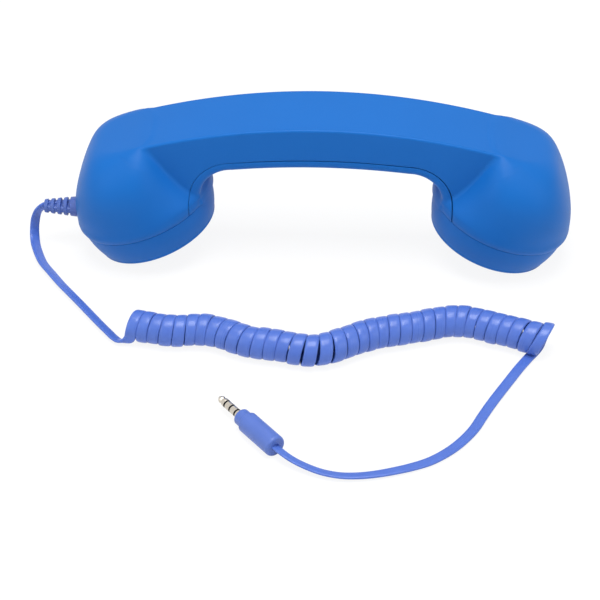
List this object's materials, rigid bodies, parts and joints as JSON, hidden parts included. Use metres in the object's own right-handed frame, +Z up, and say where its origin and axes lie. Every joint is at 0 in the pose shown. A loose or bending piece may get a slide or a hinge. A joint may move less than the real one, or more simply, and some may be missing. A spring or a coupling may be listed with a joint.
{
  "type": "telephone handset",
  "caption": "Retro telephone handset for a mobile phone, arched handle between two round cups, with a call button underneath and a curly cord that ends in a jack plug",
  "frame": {"origin": "On the table, under the middle of the handset as it stands on the rims of its two caps, measured without the cord, its strain relief and its plug", "axes": "+X along the handset, toward the earpiece; +Y to the back, away from the cord; +Z up"},
  "size_m": [0.2324, 0.1851, 0.0686],
  "materials": {
    "soft_touch_blue": "soft-touch coating on ABS",
    "button_plastic": "fine moulded texture",
    "cord_blue": "semi-gloss soft PVC",
    "plug_nickel": "polished nickel on brass",
    "plug_insulator": "moulded",
    "black_felt": "felt",
    "zinc_steel": "zinc plated",
    "ferrite": "ground",
    "clear_film": "pressed film",
    "black_rubber": "moulded",
    "capsule_can": "drawn",
    "board_laminate": "solder mask on glass laminate",
    "switch_plastic": "moulded",
    "screw_steel": "zinc plated",
    "red_insulation": "extruded",
    "black_insulation": "extruded",
    "black_nylon": "moulded"
  },
  "bodies": {
    "handset": {"outer_shell": "soft_touch_blue", "inner_shell": "soft_touch_blue", "ear_cap": "soft_touch_blue", "mouth_cap": "soft_touch_blue", "ear_felt": "black_felt", "speaker_basket": "zinc_steel", "speaker_diaphragm": "clear_film", "speaker_magnet": "ferrite", "mic_boot": "black_rubber", "mic_capsule": "capsule_can", "button_board": "board_laminate", "switch_body": "switch_plastic", "shell_screw_1": "screw_steel", "shell_screw_2": "screw_steel", "shell_screw_3": "screw_steel", "shell_screw_4": "screw_steel", "board_screw_1": "screw_steel", "board_screw_2": "screw_steel", "speaker_lead_1": "red_insulation", "speaker_lead_2": "black_insulation", "mic_lead_1": "red_insulation", "mic_lead_2": "black_insulation", "inner_cord": "cord_blue", "cable_tie": "black_nylon", "strain_relief": "cord_blue", "cord_upper_tail": "cord_blue", "cord_coil": "cord_blue", "cord_lower_tail": "cord_blue", "plug_grip": "cord_blue", "plug_sleeve": "plug_nickel", "plug_ring_1": "plug_nickel", "plug_ring_2": "plug_nickel", "plug_tip": "plug_nickel", "plug_band_1": "plug_insulator", "plug_band_2": "plug_insulator", "plug_band_3": "plug_insulator"},
    "call_button": {"call_button": "button_plastic", "switch_plunger": "switch_plastic"}
  },
  "joints": [
    {"name": "call_press", "type": "slide", "parent": "handset", "child": "call_button", "axis": [0, 0, 1], "range_m": [0, 0.0005], "stiffness_N_per_m": 2000}
  ]
}
